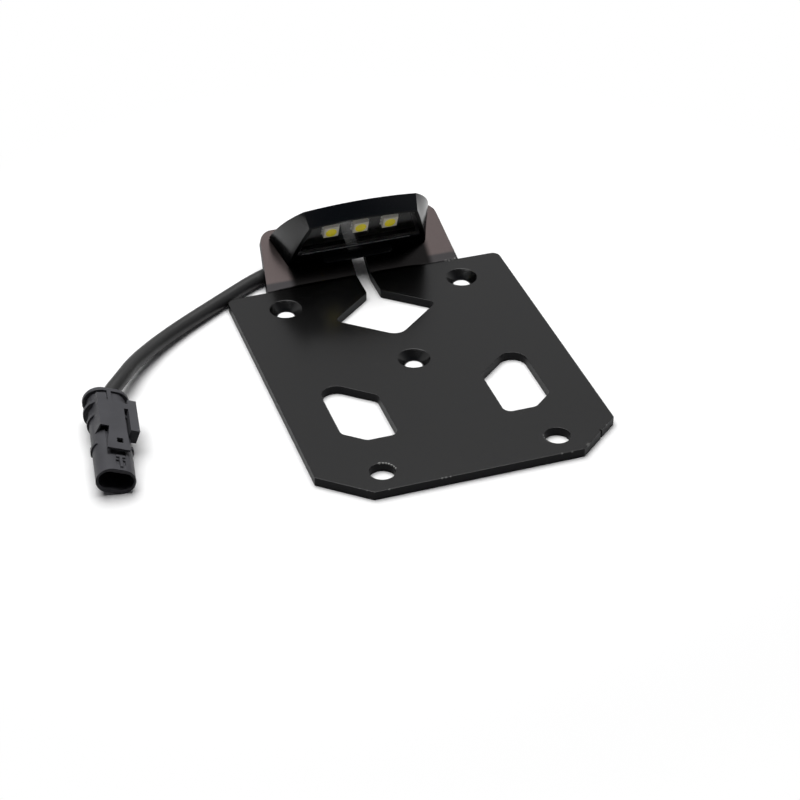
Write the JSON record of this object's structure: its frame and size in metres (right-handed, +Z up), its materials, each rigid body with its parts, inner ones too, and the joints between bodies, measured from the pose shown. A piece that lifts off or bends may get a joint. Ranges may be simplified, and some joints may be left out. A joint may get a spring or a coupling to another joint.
{
  "type": "number plate bracket",
  "caption": "Folded sheet number-plate bracket for a motorcycle tail, with countersunk holes, cut-outs, an LED plate lamp on its raised flange and a sealed connector lead.",
  "frame": {"origin": "axis of the centre countersunk hole, at the plate's underside", "axes": "+Z up through the plate, +Y towards the folded flange and lamp, +X to the right seen from the plate's free end"},
  "size_m": [0.1551, 0.1329, 0.031],
  "materials": {
    "black_coat": "satin black coat on aluminium sheet",
    "lamp_plastic": "semi-gloss black moulding",
    "lens_clear": "clear polished lens",
    "seal_rubber": "matt black rubber",
    "board_black": "black solder resist",
    "led_white": "white moulded package",
    "phosphor_yellow": "yellow phosphor gel",
    "lead_tin": "tinned metal",
    "insert_brass": "knurled brass",
    "screw_steel": "stainless steel",
    "core_insulation": "black core insulation",
    "sheath_rubber": "dark rubber sheath",
    "connector_plastic": "matt dark grey moulding"
  },
  "bodies": {
    "root": {"mount_plate": "black_coat", "lamp_housing": "lamp_plastic", "lamp_lens": "lens_clear", "lens_seal": "seal_rubber", "led_board": "board_black", "led_packages": "led_white", "led_phosphors": "phosphor_yellow", "led_leads": "lead_tin", "board_resistors": "board_black", "base_gasket": "seal_rubber", "threaded_inserts": "insert_brass", "lamp_screws": "screw_steel", "screw_washers": "screw_steel", "cable_grommet": "seal_rubber", "core_wires": "core_insulation", "cable_sheath": "sheath_rubber", "connector_housing": "connector_plastic", "connector_rear_cap": "connector_plastic", "wire_seal": "seal_rubber", "terminal_carrier": "connector_plastic", "connector_terminals": "lead_tin"}
  },
  "joints": []
}
